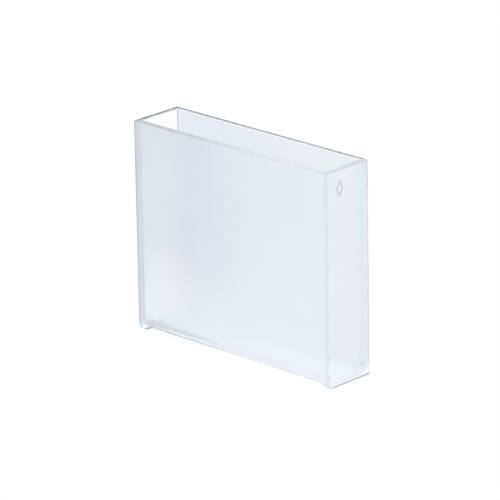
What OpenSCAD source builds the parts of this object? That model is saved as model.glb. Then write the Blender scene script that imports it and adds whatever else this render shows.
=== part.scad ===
// Rectangular spectrophotometer cell of fused silica, open at the top.
// Two clear polished end windows are fused on the ends of a U-shaped channel whose
// outside is frosted. The beam runs along X, through the windows.
// The channel's lower outer edges are cut away and its underside stands clear, so
// the cell rests on the lower edges of the two windows as on feet.
// Origin at the middle of the footprint, +X along the light path, +Z up, in mm.

/* [Cell] */
// Light path, the inside distance between the two windows
light_path = 50; // [10:0.5:100]
// Inside width of the channel, between its two walls
inside_width = 10; // [6:0.1:20]
// Overall height, from the feet to the rim
cell_height = 45; // [20:0.5:60]

/* [Windows] */
// Thickness of each clear end window
window_thickness = 1.25; // [0.8:0.05:2.5]
// Radius of each window's lower corner on the front, the cell's orientation key
key_radius = 1.6; // [0.6:0.05:1.7]

/* [Channel] */
// Thickness of the channel's two walls
wall_thickness = 1.25; // [0.8:0.05:2.5]
// Thickness of the channel's floor
floor_thickness = 1.25; // [0.8:0.05:2.5]
// Height of the channel's underside above the feet
underside_height = 0.35; // [0.1:0.05:1.5]
// How far the cut along each lower outer edge reaches in under the channel
edge_cut_width = 2; // [0.5:0.05:2.5]
// How far the cut along each lower outer edge reaches up the channel's wall
edge_cut_height = 1.4; // [0.5:0.05:2]
// Inside radius where the walls meet the floor
floor_radius = 1.5; // [0.8:0.05:2.5]

/* [Ground edges] */
// Width of the 45 degree bevel round the rim and round each window's outer face
bevel = 0.15; // [0.05:0.01:0.35]

/* [Hidden] */

clear_colour = [0.93, 0.96, 0.98, 0.45];
frosted_colour = [0.86, 0.90, 0.95, 0.85];

// Facets of the round corners
$fn = 96;
// How far a cutter passes the faces that it cuts
overshoot = 0.5;

half_path = light_path / 2;
half_inside = inside_width / 2;
half_width = half_inside + wall_thickness;
half_length = half_path + window_thickness;
floor_height = underside_height + floor_thickness;
cut_top = underside_height + edge_cut_height;

// A drawing in the YZ plane, carried along X from one place to another
module along_x(from, to) {
    translate([from, 0, 0]) rotate([90, 0, 90]) linear_extrude(to - from) children();
}

// A drawing in the XZ plane, carried along Y across the whole width
module along_width() {
    reach = half_width + overshoot;
    translate([0, reach, 0]) rotate([90, 0, 0]) linear_extrude(2 * reach) children();
}

// A drawing in the XY plane, carried up through the whole height
module along_height() {
    translate([0, 0, -overshoot]) linear_extrude(cell_height + 2 * overshoot) children();
}

// A window seen along the beam: bevelled top corners, square lower corner at the back,
// and the round key corner at the front
module window_outline() {
    centre = [key_radius - half_width, key_radius];
    polygon([
        [centre.x, 0],
        [half_width, 0],
        [half_width, cell_height - bevel],
        [half_width - bevel, cell_height],
        [bevel - half_width, cell_height],
        [-half_width, cell_height - bevel],
        [-half_width, centre.y],
        centre,
    ]);
    intersection() {
        translate(centre) circle(key_radius);
        translate([-half_width, 0]) square(key_radius);
    }
}

// A window seen from above: the outer face's two upright edges are bevelled
module window_plan() {
    polygon([
        [half_path, -half_width],
        [half_length - bevel, -half_width],
        [half_length, bevel - half_width],
        [half_length, half_width - bevel],
        [half_length - bevel, half_width],
        [half_path, half_width],
    ]);
}

// A window seen from the front: the outer face's top and bottom edges are bevelled
module window_side() {
    polygon([
        [half_path, 0],
        [half_length - bevel, 0],
        [half_length, bevel],
        [half_length, cell_height - bevel],
        [half_length - bevel, cell_height],
        [half_path, cell_height],
    ]);
}

// Cuts the outer face's bevel round the key corner
module key_bevel_cutter() {
    translate([half_length, key_radius - half_width, key_radius])
        rotate([90, 0, 90])
            rotate([0, 0, 180])
                rotate_extrude(angle = 90)
                    polygon([
                        [key_radius - bevel - overshoot, overshoot],
                        [key_radius + overshoot, -bevel - overshoot],
                        [key_radius + overshoot, overshoot],
                    ]);
}

// Takes the inner edge off the rim all round, mitred in the four corners
module rim_bevel_cutter() {
    low = cell_height - bevel;
    high = cell_height + overshoot;
    spread = bevel + overshoot;
    intersection() {
        along_x(-half_length, half_length)
            polygon([
                [-half_inside, low],
                [half_inside, low],
                [half_inside + spread, high],
                [-half_inside - spread, high],
            ]);
        along_width()
            polygon([
                [-half_path, low],
                [half_path, low],
                [half_path + spread, high],
                [-half_path - spread, high],
            ]);
    }
}

// The window at the +X end
module window() {
    difference() {
        intersection() {
            along_x(half_path, half_length) window_outline();
            along_height() window_plan();
            along_width() window_side();
        }
        key_bevel_cutter();
        rim_bevel_cutter();
    }
}

// The channel's outside seen along the beam, with its lower edges cut away
module channel_outline() {
    polygon([
        [edge_cut_width - half_width, underside_height],
        [half_width - edge_cut_width, underside_height],
        [half_width, cut_top],
        [half_width, cell_height - bevel],
        [half_width - bevel, cell_height],
        [bevel - half_width, cell_height],
        [-half_width, cell_height - bevel],
        [-half_width, cut_top],
    ]);
}

// The room inside the channel seen along the beam, with round lower corners
module cavity_outline() {
    corner = half_inside - floor_radius;
    corner_height = floor_height + floor_radius;
    translate([-half_inside, corner_height])
        square([inside_width, cell_height - corner_height + overshoot]);
    translate([-corner, floor_height])
        square([2 * corner, floor_radius + overshoot]);
    for (side = [-1, 1])
        translate([side * corner, corner_height]) circle(floor_radius);
}

module window_left() {
    color(clear_colour) mirror([1, 0, 0]) window();
}

module window_right() {
    color(clear_colour) window();
}

module channel() {
    color(frosted_colour)
        difference() {
            along_x(-half_path, half_path)
                difference() {
                    channel_outline();
                    cavity_outline();
                }
            rim_bevel_cutter();
        }
}

window_left();
window_right();
channel();
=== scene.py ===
import math

import bmesh
import bpy
import numpy as np
from mathutils import Euler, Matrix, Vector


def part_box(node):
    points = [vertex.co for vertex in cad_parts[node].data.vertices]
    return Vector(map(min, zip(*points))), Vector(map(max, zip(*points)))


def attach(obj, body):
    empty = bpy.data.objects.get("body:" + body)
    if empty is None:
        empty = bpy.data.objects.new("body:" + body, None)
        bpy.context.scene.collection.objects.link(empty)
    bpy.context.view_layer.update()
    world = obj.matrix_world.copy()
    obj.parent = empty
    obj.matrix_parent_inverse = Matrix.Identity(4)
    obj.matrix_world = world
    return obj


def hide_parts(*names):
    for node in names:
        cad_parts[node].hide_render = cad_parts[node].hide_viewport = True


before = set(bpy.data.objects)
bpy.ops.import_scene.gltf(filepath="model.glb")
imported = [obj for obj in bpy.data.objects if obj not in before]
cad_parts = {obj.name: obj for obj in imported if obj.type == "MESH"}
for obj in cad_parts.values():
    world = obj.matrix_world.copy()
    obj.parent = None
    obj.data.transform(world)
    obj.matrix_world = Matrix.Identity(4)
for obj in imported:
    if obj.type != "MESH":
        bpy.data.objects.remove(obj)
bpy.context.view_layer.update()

# A rectangular spectrophotometer cell of fused silica: a U-shaped channel, frosted outside,
# with a clear polished window fused on each end. The three are one body of glass, so they
# are one closed mesh here. Metres, Z up, the beam along X.

channelLow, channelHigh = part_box("channel")
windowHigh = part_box("window_right")[1]
halfPath = channelHigh.x  # from the middle to a window's inner face
halfLength = windowHigh.x
halfWidth = windowHigh.y
top = windowHigh.z
underside = channelLow.z


cameraSet = {
    "place": (0.608754, -0.627355, 0.328017),
    "turn": (70.6899, 0.9168, 43.8305),  # degrees about X, Y and Z
    "lens": 333.23,  # mm
    "sensor": 36,  # its width in mm
    "clipStart": 0.01,
}


def makeCamera(look):
    # a long lens, well away from the object
    data = bpy.data.cameras.new("camera")
    data.sensor_width = look["sensor"]
    data.lens = look["lens"]
    data.clip_start = look["clipStart"]
    camera = bpy.data.objects.new("camera", data)
    camera.location = look["place"]
    camera.rotation_euler = Euler([math.radians(a) for a in look["turn"]], "XYZ")
    bpy.context.scene.collection.objects.link(camera)
    bpy.context.scene.camera = camera


makeCamera(cameraSet)
print("camera placed")


def newMaterial(name):
    # a node material, with its tree and its main shader
    material = bpy.data.materials.new(name)
    material.use_nodes = True
    tree = material.node_tree
    return material, tree, tree.nodes["Principled BSDF"]


def objectNoise(tree, scale, detail):
    # noise in the object's own metres: scale is cells per metre, detail how often it is halved
    place = tree.nodes.new("ShaderNodeTexCoord")
    noise = tree.nodes.new("ShaderNodeTexNoise")
    noise.inputs["Scale"].default_value = scale
    noise.inputs["Detail"].default_value = detail
    tree.links.new(place.outputs["Object"], noise.inputs["Vector"])
    return noise.outputs["Fac"]


def remap(tree, value, low, high, fromLow=0.3, fromHigh=0.7, kind="LINEAR"):
    # low plus the value's share of the way from fromLow to fromHigh, times high less low; the
    # share stays within 0 and 1, and SMOOTHSTEP eases it in and out; noise needs no range given
    node = tree.nodes.new("ShaderNodeMapRange")
    node.interpolation_type = kind
    node.inputs["From Min"].default_value = fromLow
    node.inputs["From Max"].default_value = fromHigh
    node.inputs["To Min"].default_value = low
    node.inputs["To Max"].default_value = high
    tree.links.new(value, node.inputs["Value"])
    return node.outputs["Result"]


def combine(tree, operation, first, second):
    # one arithmetic step between two values, such as ADD or MAXIMUM
    node = tree.nodes.new("ShaderNodeMath")
    node.operation = operation
    tree.links.new(first, node.inputs[0])
    tree.links.new(second, node.inputs[1])
    return node.outputs[0]


def bumpFrom(tree, shader, height, strength):
    # relief: the surface tilts by the slope of height times the grain's depth
    bump = tree.nodes.new("ShaderNodeBump")
    bump.inputs["Strength"].default_value = strength
    bump.inputs["Distance"].default_value = grainDepth
    tree.links.new(height, bump.inputs["Height"])
    tree.links.new(bump.outputs["Normal"], shader.inputs["Normal"])


def paintedShadeAndCloudTint(tree, look):
    # painted shade: a share that changes along the cell and up it, darker to the left and, where
    # set, to the top, plus a cloud of uneven grinding, picks a tint between the shaded and the lit
    # one
    place = tree.nodes.new("ShaderNodeTexCoord")
    parts = tree.nodes.new("ShaderNodeSeparateXYZ")
    tree.links.new(place.outputs["Object"], parts.inputs[0])
    along = remap(tree, parts.outputs["X"], *look["along"], *paintedShadeSpread["along"], "SMOOTHSTEP")
    up = remap(tree, parts.outputs["Z"], *look["up"], *paintedShadeSpread["up"], "SMOOTHSTEP")
    noise = objectNoise(tree, look["cloudScale"], cloudDetail)
    cloud = remap(tree, noise, -look["cloud"], look["cloud"])
    share = combine(tree, "ADD", combine(tree, "ADD", along, up), cloud)
    colour = tree.nodes.new("ShaderNodeMix")
    colour.data_type = "RGBA"
    colour.inputs["A"].default_value = look["shadedTint"]
    colour.inputs["B"].default_value = look["litTint"]
    tree.links.new(share, colour.inputs["Factor"])
    tint = colour.outputs["Result"]
    for centre, size, spot in look.get("specks", []):
        # a small spot: its colour inside size, fading out by speckFade times size
        apart = tree.nodes.new("ShaderNodeVectorMath")
        apart.operation = "DISTANCE"
        apart.inputs[1].default_value = centre
        tree.links.new(place.outputs["Object"], apart.inputs[0])
        mix = tree.nodes.new("ShaderNodeMix")
        mix.data_type = "RGBA"
        mix.inputs["B"].default_value = spot
        fade = remap(tree, apart.outputs["Value"], 1, 0, size, speckFade * size)
        tree.links.new(fade, mix.inputs["Factor"])
        tree.links.new(tint, mix.inputs["A"])
        tint = mix.outputs["Result"]
    return tint


silicaIndex = 1.458
grainDepth = 0.00002  # metres, of each ground finish
grainDetail = 2
cloudDetail = 3
speckFade = 1.5

polish = {
    "tint": (0.965, 0.976, 0.988, 1),
    "haze": (0.0, 0.02),  # roughness, least and most
    "hazeScale": 220,
}
# painted shade: a darker tint for the lower steps of the cavity's corner behind
paintedShadeCornerGlass = {
    **polish,
    "tint": (0.75, 0.77, 0.83, 1),
}

# where the painted shade changes: X along the cell, and Z from its upper to its lower end
paintedShadeSpread = {"along": (-0.020, 0.012), "up": (0.026, 0.004)}

# a nick in the rim, over the left window: place, size and colour
rimNick = ((-0.0258, -0.0034, 0.045), 0.0005, (0.02, 0.02, 0.025, 1))

# Each ground finish: its shaded and lit tints, the share of painted shade between them at the two
# ends of each spread, a cloud in that share, the grain, the share that passes through it and the
# share that it scatters every way
# the frosted sides; painted shade in their tint makes them darker to the left and to the top
frost = {
    "shadedTint": (0.61, 0.64, 0.71, 1),
    "litTint": (0.975, 0.99, 1.0, 1),
    "along": (0.05, 1.0),
    "up": (-0.1, 0.57),
    "cloud": 0.1,
    "cloudScale": 90,
    "roughness": (0.4, 0.48),
    "grainScale": 9000,
    "relief": 0.25,
    "passing": 1.0,
    "veil": 0.35,
    "veilTint": (0.96, 0.975, 1.0, 1),
    "specks": [  # place, size and colour of two dull patches, then of two small specks
        ((-0.0225, -0.00625, 0.0022), 0.0014, (0.70, 0.74, 0.76, 1)),
        ((-0.0195, -0.00625, 0.0026), 0.0012, (0.70, 0.74, 0.76, 1)),
        ((-0.01796, -0.00625, 0.0023), 0.00014, (0.45, 0.5, 0.52, 1)),
        ((-0.0167, -0.00625, 0.0025), 0.00016, (1.0, 0.98, 0.93, 1)),
    ],
}
paintedShadeFrostBehind = {  # the side behind, mostly seen through the rest, a copy with painted shade, darker all over
    **frost,
    "along": (0.07, 0.83),
    "shadedTint": (0.60, 0.67, 0.76, 1),
    "litTint": (0.70, 0.74, 0.775, 1),
    "up": (0.0, 0.0),
    "veilTint": (0.88, 0.91, 0.95, 1),
    "cloud": 0.2,
    "cloudScale": 60,
    "specks": [],
}
jointBehind = {  # the same beside the windows, steadier, its painted shade lighter and bluer
    **paintedShadeFrostBehind,
    "shadedTint": (0.66, 0.74, 0.84, 1),
    "litTint": (0.70, 0.77, 0.85, 1),
    "roughness": (0.7, 0.8),
    "veil": 0.75,
    "veilTint": (0.82, 0.875, 0.94, 1),
}
groundEdge = {  # the windows' edges and the band next to them, with painted shade darker to the left
    "shadedTint": (0.66, 0.73, 0.83, 1),
    "litTint": (0.94, 0.97, 1.0, 1),
    "along": (0.0, 1.0),
    "up": (0.0, 0.0),
    "cloud": 0.12,
    "cloudScale": 300,
    "roughness": (0.28, 0.36),
    "grainScale": 6000,
    "relief": 0.15,
    "passing": 1.0,
    "veil": 0.08,
    "veilTint": (0.95, 0.97, 1.0, 1),
}
# a rougher, more veiled copy, with the same painted shade to the left
groundBehind = {
    **groundEdge,
    "shadedTint": (0.68, 0.74, 0.82, 1),
    "litTint": (0.91, 0.96, 1.0, 1),
    "roughness": (0.4, 0.45),
    "veil": 0.6,
    "veilTint": (0.93, 0.965, 1.0, 1),
}
# the ground top faces, with painted shade darker to the left
rim = {
    "shadedTint": (0.54, 0.575, 0.62, 1),
    "litTint": (0.84, 0.87, 0.925, 1),
    "along": (0.1, 0.9),
    "up": (0.0, 0.0),
    "cloud": 0.1,
    "cloudScale": 700,
    "roughness": (0.35, 0.45),
    "grainScale": 6000,
    "relief": 0.15,
    "passing": 0.15,
    "veil": 0.0,
}
nearEdge = {  # a painted highlight: the rim lighter and opaque, on the arrises in front on the right and round the mouth
    **rim,
    "shadedTint": (0.915, 0.945, 0.985, 1),
    "litTint": (0.945, 0.965, 1.0, 1),
    "relief": 0.0,
    "passing": 0.0,
    "specks": [rimNick],
}
paintedShadeSoftLine = {  # painted shade: the softer dark line inside the left outline, darker towards the top
    **rim,
    "shadedTint": (0.62, 0.665, 0.725, 1),
    "litTint": (0.72, 0.76, 0.81, 1),
    "up": (0.0, 0.6),
}
arris = {  # painted shade as thin dark lines on the edges, and the fused seam's dark line
    **rim,
    "shadedTint": (0.17, 0.175, 0.19, 1),
    "litTint": (0.50, 0.52, 0.56, 1),
    "along": (0.15, 0.65),
    "cloud": 0.3,
    "cloudScale": 900,
    "passing": 0.3,
    "specks": [rimNick],
}
lowArris = {  # lighter painted shade under the front and at the key corner's foot, and the nick
    **arris,
    "shadedTint": (0.42, 0.42, 0.46, 1),
    "litTint": (0.82, 0.83, 0.87, 1),
    "along": (0.0, 1.6),
    "passing": 0.15,
}
etched = {
    **arris,
    "shadedTint": (0.55, 0.57, 0.62, 1),
    "litTint": (0.66, 0.68, 0.73, 1),
}


def polishedSilica(name, look):
    # optically polished: no grain, the faintest cloud in its roughness
    material, tree, shader = newMaterial(name)
    shader.inputs["Base Color"].default_value = look["tint"]
    shader.inputs["Transmission Weight"].default_value = 1
    shader.inputs["IOR"].default_value = silicaIndex
    haze = objectNoise(tree, look["hazeScale"], cloudDetail)
    tree.links.new(remap(tree, haze, *look["haze"]), shader.inputs["Roughness"])
    return material


def groundSilica(name, look):
    # ground by grit: a fine grain in its roughness and relief, and an uneven tint; veil is
    # the share that it scatters every way, mixed over the rest
    material, tree, shader = newMaterial(name)
    shader.inputs["Transmission Weight"].default_value = look["passing"]
    shader.inputs["IOR"].default_value = silicaIndex
    tree.links.new(paintedShadeAndCloudTint(tree, look), shader.inputs["Base Color"])
    grain = objectNoise(tree, look["grainScale"], grainDetail)
    tree.links.new(remap(tree, grain, *look["roughness"]), shader.inputs["Roughness"])
    bumpFrom(tree, shader, grain, look["relief"])
    if look["veil"] > 0:
        veil = tree.nodes.new("ShaderNodeBsdfTranslucent")
        veil.inputs["Color"].default_value = look["veilTint"]
        mix = tree.nodes.new("ShaderNodeMixShader")
        mix.inputs["Fac"].default_value = look["veil"]
        tree.links.new(shader.outputs[0], mix.inputs[1])
        tree.links.new(veil.outputs[0], mix.inputs[2])
        tree.links.new(mix.outputs[0], tree.nodes["Material Output"].inputs["Surface"])
    return material


finishes = {
    "polished": polishedSilica("polishedSilica", polish),
    # corner: the cavity's corner behind, with painted shade
    "corner": polishedSilica("paintedShadeCornerGlass", paintedShadeCornerGlass),
    "frosted": groundSilica("frostedSilica", frost),
    "paintedShadeFrostedBehind": groundSilica("paintedShadeFrostedBehind", paintedShadeFrostBehind),
    "jointBehind": groundSilica("jointBehind", jointBehind),
    "ground": groundSilica("groundEdge", groundEdge),
    "groundBehind": groundSilica("groundBehind", groundBehind),
    "rim": groundSilica("groundRim", rim),
    "nearEdge": groundSilica("nearEdge", nearEdge),
    "paintedShadeSoftLine": groundSilica("paintedShadeSoftLine", paintedShadeSoftLine),
    "arris": groundSilica("seamAndPaintedShadeLine", arris),
    "lowArris": groundSilica("lowArris", lowArris),
    "etched": groundSilica("etchedMark", etched),
}
print("finishes made:", ", ".join(finishes))


cellShape = {  # in metres; from wall to bevel they are the CAD's
    "wall": 0.00125,
    "floor": 0.00125,
    "floorRadius": 0.0015,
    "keyRadius": 0.0016,
    "edgeCutWidth": 0.002,
    "edgeCutHeight": 0.0014,
    "bevel": 0.00015,
    "arcSteps": 32,  # of each quarter turn
    "weld": 1e-7,  # points nearer than this are one
    "seam": 0.0002,  # the line of the fused joint, inside the cell
    "joint": 0.0008,  # how far the smoother ground band runs from each window onto the sides
    "jointBehind": 0.0023,  # the same at the right end of the side behind
    "lowLine": 0.55,  # share of the front cut's slope that its lower part, with painted shade, takes
    "outline": 0.00012,  # the thin line on the windows' edges and faces, mostly painted shade or highlight
    "nearLine": 0.00038,  # how much wider it is beside the near edge, where it is a painted highlight
    "farLine": 0.00052,  # the softer line of painted shade beside it at the far left
    "footLine": 0.00012,  # how much wider the line is along the foot, painted dark on the right
    "rimLine": 0.0007,  # the outer part of the rim, behind and on the left, darker with painted shade
    "nick": (0.0227, 0.0218),  # heights of the two ends of a nick in the near edge
    "shadedTurn": 24,  # how many steps of the cavity's corner behind get painted shade, from below
    "seamClear": 2,  # steps at that corner's upper end where no seam shows
    "darkTurn": 5,  # steps at the key corner's lower end where its line is darker with painted shade
}
markShape = {  # a small etched diamond, in metres
    "centre": (-0.0020, 0.0410),  # Y and Z on the right window's outer face
    "half": (0.00105, 0.0018),
    "stroke": 0.0003,
}


def arc(centre, radius, start, end, steps):
    # points of an ellipse's arc: centre plus each radius times cosine and sine of equal steps
    angle = np.radians(np.linspace(start, end, steps + 1))
    return np.asarray(centre) + np.stack([np.cos(angle), np.sin(angle)], 1) * radius


def atX(path, x):
    # a YZ path stood at one place along the beam
    return np.column_stack([np.full(len(path), x), path])


def closed(path):
    # the path with its first point again at its end
    return np.concatenate([path, path[:1]])


class Surfaces:
    # gathers flat faces, each with its own points, and the finish of each

    def __init__(self):
        self.points = []
        self.faces = []
        self.finish = []
        self.count = 0

    def face(self, points, finish):
        # one flat face round its points
        self.points.append(np.asarray(points, float))
        self.faces.append(list(range(self.count, self.count + len(points))))
        self.finish.append(finish)
        self.count += len(points)

    def strip(self, first, second, finish):
        # quads from one row of points to the next; finish is one name, or one for each quad
        rows = len(first)
        low = self.count + np.arange(rows - 1)
        quads = np.stack([low, low + 1, low + rows + 1, low + rows], 1)
        self.points.append(np.concatenate([first, second]))
        self.faces.extend(quads.tolist())
        self.finish.extend([finish] * len(quads) if isinstance(finish, str) else finish)
        self.count += 2 * rows

    def along(self, path, places, finish):
        # a YZ path carried from place to place; finish has an entry for each bay between them
        for bay, entry in enumerate(finish):
            self.strip(atX(path, places[bay]), atX(path, places[bay + 1]), entry)


def diamond(mark, inset=0.0):
    # four corners; inset moves each side inwards by that distance
    half = np.array(mark["half"])
    reach = half.prod() / np.hypot(*half)  # from the centre to a side
    half = half * (1 - inset / reach)
    return np.array(mark["centre"]) + half * [[0, -1], [-1, 0], [0, 1], [1, 0]]


def levelHeights(shape):
    # heights on the upright edges: under the top bevel, the nick's two ends and the cut's top
    return np.array([top - shape["bevel"], *shape["nick"], underside + shape["edgeCutHeight"]])


def windowOutline(shape, inset=0.0, lift=0.0, near=0.0):
    # a window's YZ outline from its front top corner, down, round the key corner, along the
    # foot and up the back; inset draws it in all round, lift raises its foot further and near
    # moves its front in; only the full one has its two top bevels
    key = shape["keyRadius"]
    side = halfWidth - inset
    nearSide = side - near
    low = inset + lift
    topCut = shape["bevel"] if inset == 0 else 0
    levels = levelHeights(shape)
    levels[0] = top - inset - topCut
    front = [[topCut - nearSide, top - inset]] + [[-nearSide, z] for z in levels]
    radii = (key - inset - near, key - low)
    corner = arc((key - halfWidth, key), radii, 180, 270, shape["arcSteps"])
    back = [[0, low], [side, low]] + [[side, z] for z in levels[::-1]]
    back.append([side - topCut, top - inset])
    return np.concatenate([front, corner, back])


def cavityOutline(shape):
    # the cavity in YZ: down the front wall, two quarter turns with the floor between them, and
    # up the wall behind
    inside = halfWidth - shape["wall"]
    radius = shape["floorRadius"]
    middle = underside + shape["floor"] + radius
    return np.concatenate([
        [[-inside, top - shape["bevel"]]],
        arc((radius - inside, middle), radius, 180, 270, shape["arcSteps"]),
        arc((inside - radius, middle), radius, 270, 360, shape["arcSteps"]),
        [[inside, top - shape["bevel"]]],
    ])


def underOutline(shape):
    # the channel from below in YZ, from the front: the cut's upper and lower part, the
    # underside and the cut behind
    cutTop = underside + shape["edgeCutHeight"]
    cutIn = halfWidth - shape["edgeCutWidth"]
    slope = np.array([-shape["edgeCutWidth"], shape["edgeCutHeight"]])
    lowIn = np.array([-cutIn, underside]) + shape["lowLine"] * slope
    return np.array([
        [-halfWidth, cutTop], lowIn, [-cutIn, underside], [cutIn, underside], [halfWidth, cutTop],
    ])


def channelPlaces(shape):
    # places along the beam, left to right, between which the channel keeps one finish
    joint = halfPath - shape["joint"]
    seam = halfPath - shape["seam"]
    return np.array([
        -halfPath, -seam, -joint, halfPath - shape["jointBehind"], joint, seam, halfPath,
    ])


def windowPlaces(shape):
    # the same on a window's edge, from its joint outwards
    outer = halfLength - shape["bevel"]
    line = outer - shape["outline"]
    return np.array([halfPath, line - shape["farLine"], line, outer])


def addChannel(skin, shape):
    # the cavity, the underside, both sides and their top bevels, each carried along the beam
    steps = shape["arcSteps"]
    half = steps // 2
    shaded = shape["shadedTurn"]
    clear = shape["seamClear"]
    bevel = shape["bevel"]
    places = channelPlaces(shape)
    # in the cavity's order: front wall, front corner, floor, corner behind and wall behind
    # the lower steps of the corner behind take painted shade
    inward = ["polished"] * (steps + 2) + ["corner"] * shaded + ["polished"] * (steps - shaded + 1)
    seamBack = inward[:-1] + ["arris"]  # the upright corner behind on the left shows its seam
    seamFoot = list(inward)  # and so does the upper half of the round one on the right
    seamFoot[-half - 1:-clear - 1] = ["arris"] * (half - clear)
    middle = inward[:1 + half] + ["groundBehind"] * half + inward[1 + steps:]
    inwardBays = [seamBack, inward, middle, middle, inward, seamFoot]
    skin.along(cavityOutline(shape), places, inwardBays)

    # the lower part of the cut in front takes painted shade, but not at the right end
    darkCut = ["frosted", "lowArris", "groundBehind", "groundBehind"]
    plainCut = ["frosted", "frosted", "groundBehind", "groundBehind"]
    skin.along(underOutline(shape), places, [darkCut] * 4 + [plainCut] * 2)

    heights = levelHeights(shape)
    side = np.column_stack([np.full(len(heights), -halfWidth), heights])
    topBevel = np.array([[bevel - halfWidth, top], [-halfWidth, top - bevel]])
    frontBays = ["ground"] * 2 + ["frosted"] * 2 + ["ground"] * 2
    backBays = ["jointBehind"] * 2 + ["paintedShadeFrostedBehind"] + ["jointBehind"] * 2 + ["groundBehind"]
    for turn, bays in ((1, frontBays), (-1, backBays)):
        way = np.array([turn, 1])
        skin.along(side * way, places, bays)
        skin.along(topBevel * way, places, ["rim"] * len(bays))


def addWindows(skin, shape, mark):
    # each window's edge, carried outwards, then its bevel and its line of painted shade or
    # highlight, each a strip between two outlines, and its flat faces
    full = windowOutline(shape)
    drawnIn = windowOutline(shape, shape["bevel"])
    lineIn = shape["bevel"] + shape["outline"]
    lined = windowOutline(shape, lineIn, shape["footLine"])
    nearLined = windowOutline(shape, lineIn, shape["footLine"], shape["nearLine"])
    # an outline's quads: one at its top, one under each level, the key corner's steps, two along
    # the foot, one under each level again and one at its top; if closed, one more along the top
    levels = len(levelHeights(shape))
    nickQuad = 2
    turned = 1 + levels + shape["arcSteps"]  # quads from the top to the key corner's lower end
    heel = turned + 2  # the point where the foot meets the back
    dark = shape["darkTurn"]
    edge = ["rim"] + ["ground"] * turned + ["groundBehind"] * (levels + 1) + ["rim"]
    # on the left the edge's outer bands, the bevel and the line take painted shade, in part
    leftEdges = [edge, ["paintedShadeSoftLine"] * levels + edge[levels:], ["arris"] * levels + edge[levels:]]
    leftRing = ["arris"] * len(full)
    leftLine = ["arris"] * levels + ["polished"] * (heel - levels) + ["arris"] * (levels + 2)
    # the near edge gets a painted highlight and the top is lighter, but for the nick; the key
    # corner's foot and the back get painted shade
    rightLine = ["nearEdge"] * (turned - dark) + ["lowArris"] * dark
    rightLine += ["arris"] * (levels + 3) + ["rim"]
    rightRing = list(rightLine)
    rightRing[nickQuad] = "lowArris"
    # the part of a window's inner face that the channel leaves bare
    under = underOutline(shape)
    foot = np.concatenate([under, full[heel:heel + 1], full[levels + 1:heel][::-1]])
    for end, edges, ring, line, path, footFinish in (
        (-1, leftEdges, leftRing, leftLine, lined, "polished"),
        (1, [edge] * 3, rightRing, rightLine, nearLined, "ground"),
    ):
        places = end * windowPlaces(shape)
        skin.along(full, places, edges)
        bevelled = atX(closed(drawnIn), end * halfLength)
        skin.strip(atX(closed(full), places[-1]), bevelled, ring)
        skin.strip(bevelled, atX(closed(path), end * halfLength), line)
        skin.face(atX(cavityOutline(shape), places[0]), "polished")
        skin.face(atX(foot, places[0]), footFinish)

    # the outer faces; the right one opens round its mark, from two corners
    skin.face(atX(lined, -halfLength), "polished")
    outside = diamond(mark)
    inner = diamond(mark, mark["stroke"])
    front = np.concatenate([nearLined[:heel + 1], outside[:3]])
    back = np.concatenate([nearLined[heel:], nearLined[:1], outside[[2, 3, 0]]])
    for part in (front, back):
        skin.face(atX(part, halfLength), "polished")
    skin.strip(atX(closed(outside), halfLength), atX(closed(inner), halfLength), "etched")
    skin.face(atX(inner, halfLength), "polished")


def addRim(skin, shape):
    # the top: a flat frame in two parts and the bevel round the mouth, each between two
    # rectangles, as two long and two short sides with mitred corners
    bevel = shape["bevel"]
    inside = halfWidth - shape["wall"]
    rimLine = shape["rimLine"]
    outer = (halfLength - bevel, halfWidth - bevel, top)
    middle = (outer[0] - rimLine, outer[1] - rimLine, top)
    inner = (halfPath + bevel, inside + bevel, top)
    mouth = (halfPath, inside, top - bevel)
    places = channelPlaces(shape)
    beyond = windowPlaces(shape)[1:]
    parts = (
        (np.concatenate([-beyond[::-1], places, beyond]), outer, middle, "arris"),
        ((-middle[0], middle[0]), middle, inner, "polished"),
        (places, mouth, inner, "nearEdge"),
    )
    for turn in (-1, 1):
        for row, (x, y, z), (nextX, nextY, nextZ), finish in parts:
            # all is rim in front and on the right; behind and on the left the outer part has
            # painted shade and the mouth's bevel a painted highlight
            longFinish, shortFinish = ("rim", finish) if turn < 0 else (finish, "rim")
            corners = [[nextX, turn * nextY, nextZ], [-nextX, turn * nextY, nextZ]]
            skin.face([[place, turn * y, z] for place in row] + corners, longFinish)
            skin.face([
                [turn * x, -y, z], [turn * x, y, z],
                [turn * nextX, nextY, nextZ], [turn * nextX, -nextY, nextZ],
            ], shortFinish)


def makeCell(shape, mark):
    # every surface of the cell in one mesh, points nearer than weld made one, facing outwards
    skin = Surfaces()
    addChannel(skin, shape)
    addWindows(skin, shape, mark)
    addRim(skin, shape)
    mesh = bpy.data.meshes.new("cell")
    mesh.from_pydata(np.concatenate(skin.points).tolist(), [], skin.faces)
    names = list(finishes)
    indices = np.array([names.index(name) for name in skin.finish], np.int32)
    mesh.polygons.foreach_set("material_index", indices)
    for material in finishes.values():
        mesh.materials.append(material)
    work = bmesh.new()
    work.from_mesh(mesh)
    bmesh.ops.remove_doubles(work, verts=work.verts, dist=shape["weld"])
    bmesh.ops.dissolve_degenerate(work, edges=work.edges, dist=shape["weld"])
    bmesh.ops.recalc_face_normals(work, faces=work.faces)
    openEdges = sum(1 for edge in work.edges if len(edge.link_faces) != 2)
    work.to_mesh(mesh)
    work.free()
    cell = bpy.data.objects.new("cell", mesh)
    bpy.context.scene.collection.objects.link(cell)
    print("cell made:", len(mesh.polygons), "faces,", openEdges, "open edges")
    return cell


cell = makeCell(cellShape, markShape)
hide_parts("window_left", "window_right", "channel")
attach(cell, "root")


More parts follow.
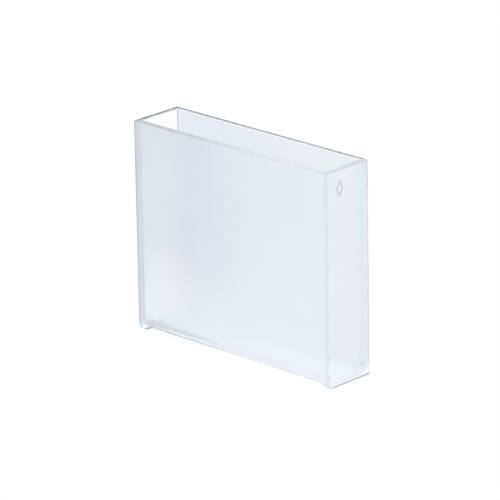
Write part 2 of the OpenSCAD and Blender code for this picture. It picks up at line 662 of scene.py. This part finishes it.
studio = {
    "floorHalf": 4.0,
    "floorDrop": 0.00005,  # a paper's thickness under the feet, so that the two don't flicker
    "floorWhite": 0.9,  # the paint's colour for the light
    "floorSeen": 0.15,  # and for rays that seenPath counts
    "floorLift": 0.86,  # the glow that such rays see besides
    "floorRoughness": 0.8,
    "white": (1, 1, 1, 1),
    "worldLight": 0.92,
    "overhead": (0.55, 0.60, 0.68, 1),  # the room above, against white all round
    "overheadRange": (0.35, 0.9),  # where it starts and is full, as sines of the angle up
    "lampPlace": (-0.45, -0.6, 0.9),
    "lampSize": 0.7,
    "lampPower": 3.0,
    "glassBounces": 128,  # light crosses many faces of the glass
    "softBounces": 64,
    "clearBounces": 16,
}


def seenPath(tree):
    # 1 for a ray from the camera, a mirror or the inside of glass, 0 for others
    path = tree.nodes.new("ShaderNodeLightPath")
    total = path.outputs["Is Camera Ray"]
    for name in ("Is Glossy Ray", "Is Transmission Ray"):
        total = combine(tree, "MAXIMUM", total, path.outputs[name])
    return total


def makeWorld(look):
    # white all round and below, and a dimmer, bluer room overhead; full strength where seen,
    # worldLight where it only lights
    world = bpy.data.worlds.new("studio")
    world.use_nodes = True
    tree = world.node_tree
    back = tree.nodes["Background"]
    direction = tree.nodes.new("ShaderNodeTexCoord")
    parts = tree.nodes.new("ShaderNodeSeparateXYZ")
    tree.links.new(direction.outputs["Generated"], parts.inputs[0])
    colour = tree.nodes.new("ShaderNodeMix")
    colour.data_type = "RGBA"
    colour.inputs["A"].default_value = look["white"]
    colour.inputs["B"].default_value = look["overhead"]
    overhead = remap(tree, parts.outputs["Z"], 0, 1, *look["overheadRange"])
    tree.links.new(overhead, colour.inputs["Factor"])
    tree.links.new(colour.outputs["Result"], back.inputs["Color"])
    strength = remap(tree, seenPath(tree), look["worldLight"], 1.0, 0, 1)
    tree.links.new(strength, back.inputs["Strength"])
    bpy.context.scene.world = world


def makeFloor(look):
    # a square floor just under the feet; its paint darkens and glows for the rays that see it
    half = look["floorHalf"]
    side = np.array([-half, half])
    x, y = np.meshgrid(side, side)
    points = np.stack([x.ravel(), y.ravel(), np.full(4, -look["floorDrop"])], 1)
    mesh = bpy.data.meshes.new("floor")
    mesh.from_pydata(points.tolist(), [], [(0, 1, 3, 2)])
    floor = bpy.data.objects.new("floor", mesh)
    bpy.context.scene.collection.objects.link(floor)
    material, tree, shader = newMaterial("floorPaint")
    shader.inputs["Roughness"].default_value = look["floorRoughness"]
    shader.inputs["Emission Color"].default_value = look["white"]
    seen = seenPath(tree)
    paint = remap(tree, seen, look["floorWhite"], look["floorSeen"], 0, 1)
    lift = remap(tree, seen, 0, look["floorLift"], 0, 1)
    tree.links.new(paint, shader.inputs["Base Color"])
    tree.links.new(lift, shader.inputs["Emission Strength"])
    mesh.materials.append(material)
    material.cycles.emission_sampling = "NONE"  # the floor is seen, not used as a lamp


def makeLamp(look):
    # a square lamp, turned from its place to face the origin
    data = bpy.data.lights.new("softLamp", "AREA")
    data.energy = look["lampPower"]
    data.size = look["lampSize"]
    lamp = bpy.data.objects.new("softLamp", data)
    lamp.location = look["lampPlace"]
    lamp.rotation_euler = (-lamp.location).to_track_quat("-Z", "Y").to_euler()
    bpy.context.scene.collection.objects.link(lamp)


makeWorld(studio)
makeFloor(studio)
makeLamp(studio)
bpy.context.scene.view_settings.view_transform = "Standard"
bounces = bpy.context.scene.cycles
bounces.max_bounces = studio["glassBounces"]
bounces.transmission_bounces = studio["glassBounces"]
bounces.glossy_bounces = studio["glassBounces"]
bounces.diffuse_bounces = studio["softBounces"]
bounces.blur_glossy = 0  # the blur would darken every path that the grain has scattered
bounces.transparent_max_bounces = studio["clearBounces"]
print("stage lit")
